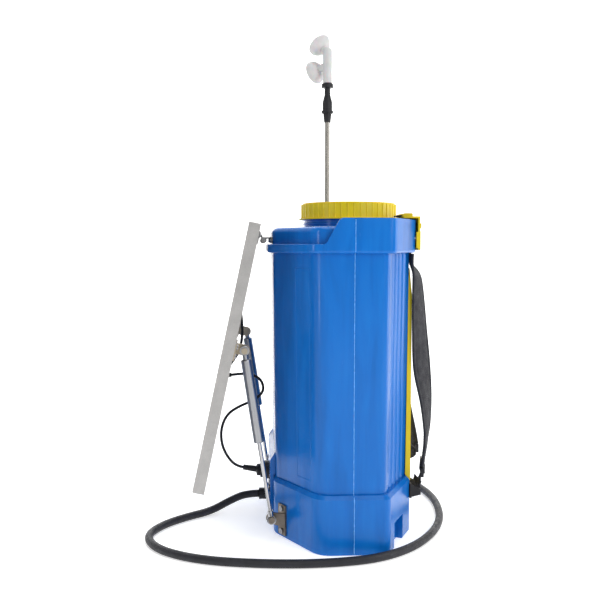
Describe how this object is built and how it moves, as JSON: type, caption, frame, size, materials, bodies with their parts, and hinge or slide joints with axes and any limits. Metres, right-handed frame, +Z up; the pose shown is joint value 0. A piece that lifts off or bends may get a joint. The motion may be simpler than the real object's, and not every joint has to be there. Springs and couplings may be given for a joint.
{
  "type": "backpack sprayer",
  "caption": "Knapsack sprayer with a moulded tank, screw lid, tilting solar panel on gas struts, shoulder straps, hose and a two-headed spray lance.",
  "frame": {"origin": "middle of the base, on the floor", "axes": "+X to the wearer's right, +Y to the side worn against the back, -Y to the rear where the solar panel hangs, +Z up"},
  "size_m": [0.4935, 0.473, 0.8274],
  "materials": {
    "tank_blue": "glossy blow-moulded polyethylene",
    "yellow_plastic": "satin moulded",
    "black_plastic": "matt moulded",
    "clear_white": "translucent milky",
    "hose_rubber": "matt, slightly ribbed",
    "webbing": "woven charcoal",
    "padding": "woven cover over foam",
    "frame_aluminium": "anodised",
    "laminate": "tempered front, cells behind",
    "steel_zinc": "yellow zinc",
    "steel_chrome": "polished rod",
    "strut_silver": "satin silver",
    "stainless": "drawn tube",
    "brass": "machined",
    "screw_steel": "plated"
  },
  "bodies": {
    "tank": {"tank_shell": "tank_blue", "bottom_cover": "tank_blue", "rear_hatch": "tank_blue", "charging_socket": "black_plastic", "switch_frame": "black_plastic", "outlet_fitting": "brass", "hose_nut": "black_plastic", "cable_plug": "black_plastic", "battery": "black_plastic", "battery_bracket": "steel_zinc", "pump_head": "black_plastic", "pump_motor": "strut_silver", "inner_hoses": "clear_white", "strainer_basket": "black_plastic", "hinge_leaves_tank": "steel_zinc", "strut_feet": "steel_zinc", "back_plate": "yellow_plastic", "tank_screws": "screw_steel", "lance_clips": "black_plastic", "hose": "hose_rubber", "panel_cable": "hose_rubber", "shoulder_pad_right": "padding", "buckle_right": "black_plastic", "lower_webbing_right": "webbing", "strap_hook_right": "black_plastic", "upper_webbing_right": "webbing", "strap_hanger_right": "yellow_plastic", "shoulder_pad_left": "padding", "buckle_left": "black_plastic", "lower_webbing_left": "webbing", "strap_hook_left": "black_plastic", "upper_webbing_left": "webbing", "strap_hanger_left": "yellow_plastic"},
    "gasket": {"lid_gasket": "hose_rubber"},
    "lid": {"lid": "yellow_plastic"},
    "panel": {"panel_frame": "frame_aluminium", "solar_laminate": "laminate", "junction_box": "black_plastic", "panel_lead": "hose_rubber", "cable_clip": "black_plastic", "hinge_leaves_panel": "steel_zinc", "hinge_pins": "screw_steel", "strut_brackets": "steel_zinc", "panel_screws": "screw_steel"},
    "rod_right": {"strut_rod_right": "steel_chrome"},
    "rod_left": {"strut_rod_left": "steel_chrome"},
    "tube_right": {"strut_tube_right": "strut_silver"},
    "tube_left": {"strut_tube_left": "strut_silver"},
    "lance": {"grip": "black_plastic", "hose_tail": "black_plastic", "lance_nut": "black_plastic", "lance_tube": "stainless", "lance_tip": "black_plastic"},
    "trigger": {"trigger": "black_plastic"},
    "valve": {"valve_pin": "stainless"},
    "head": {"nozzle_body": "clear_white", "nozzle_hoods": "clear_white", "nozzle_tips": "brass"},
    "switch": {"rocker": "black_plastic"},
    "rotor": {"pump_rotor": "stainless"}
  },
  "joints": [
    {"name": "panel_tilt", "type": "hinge", "parent": "tank", "child": "panel", "pos_m": [0, -0.1208, 0.4451], "axis": [1, 0, 0], "range_deg": [0, 7], "stiffness_Nm_per_rad": 10, "springref_deg": -17.19, "deforming": ["panel_cable"]},
    {"name": "strut_pivot_right", "type": "hinge", "parent": "tank", "child": "rod_right", "pos_m": [0.135, -0.1111, 0.0331], "axis": [1, 0, 0], "range_deg": [-4.71, 0.3]},
    {"name": "strut_slide_right", "type": "slide", "parent": "rod_right", "child": "tube_right", "axis": [0, -0.1522, 0.9883], "range_m": [-0.00508, 0.0005]},
    {"name": "strut_pivot_left", "type": "hinge", "parent": "tank", "child": "rod_left", "pos_m": [-0.135, -0.1111, 0.0331], "axis": [1, 0, 0], "range_deg": [-4.71, 0.3]},
    {"name": "strut_slide_left", "type": "slide", "parent": "rod_left", "child": "tube_left", "axis": [0, -0.1522, 0.9883], "range_m": [-0.00508, 0.0005]},
    {"name": "lid_lift", "type": "slide", "parent": "tank", "child": "gasket", "axis": [0, 0, 1], "range_m": [0, 0.009]},
    {"name": "lid_turn", "type": "hinge", "parent": "gasket", "child": "lid", "pos_m": [0, 0.017, 0.49], "axis": [0, 0, 1], "range_deg": [0, 540]},
    {"name": "lance_unclip", "type": "slide", "parent": "tank", "child": "lance", "axis": [-1, 0, 0], "range_m": [0, 0.04], "deforming": ["hose"]},
    {"name": "trigger_pull", "type": "hinge", "parent": "lance", "child": "trigger", "pos_m": [-0.214, -0.024, 0.246], "axis": [1, 0, 0], "range_deg": [0, 12], "stiffness_Nm_per_rad": 0.6, "springref_deg": -11.46},
    {"name": "valve_travel", "type": "slide", "parent": "lance", "child": "valve", "axis": [0, 1, 0], "range_m": [0, 0.0026]},
    {"name": "nozzle_swivel", "type": "hinge", "parent": "lance", "child": "head", "pos_m": [-0.214, 0.002, 0.738], "axis": [0, 0, 1], "continuous": true},
    {"name": "switch_rock", "type": "hinge", "parent": "tank", "child": "switch", "pos_m": [0.048, -0.108, 0.062], "axis": [1, 0, 0], "range_deg": [0, 16]},
    {"name": "pump_spin", "type": "hinge", "parent": "tank", "child": "rotor", "pos_m": [0.087, 0.022, 0.04], "axis": [1, 0, 0], "continuous": true}
  ],
  "couplings": [
    {"joint": "strut_pivot_right", "follows": "panel_tilt", "ratio": -0.63051},
    {"joint": "strut_slide_right", "follows": "panel_tilt", "m_per_rad": -0.037508},
    {"joint": "strut_pivot_left", "follows": "panel_tilt", "ratio": -0.63051},
    {"joint": "strut_slide_left", "follows": "panel_tilt", "m_per_rad": -0.037508},
    {"joint": "lid_lift", "follows": "lid_turn", "m_per_rad": 0.00095493},
    {"joint": "valve_travel", "follows": "trigger_pull", "m_per_rad": 0.0118}
  ]
}
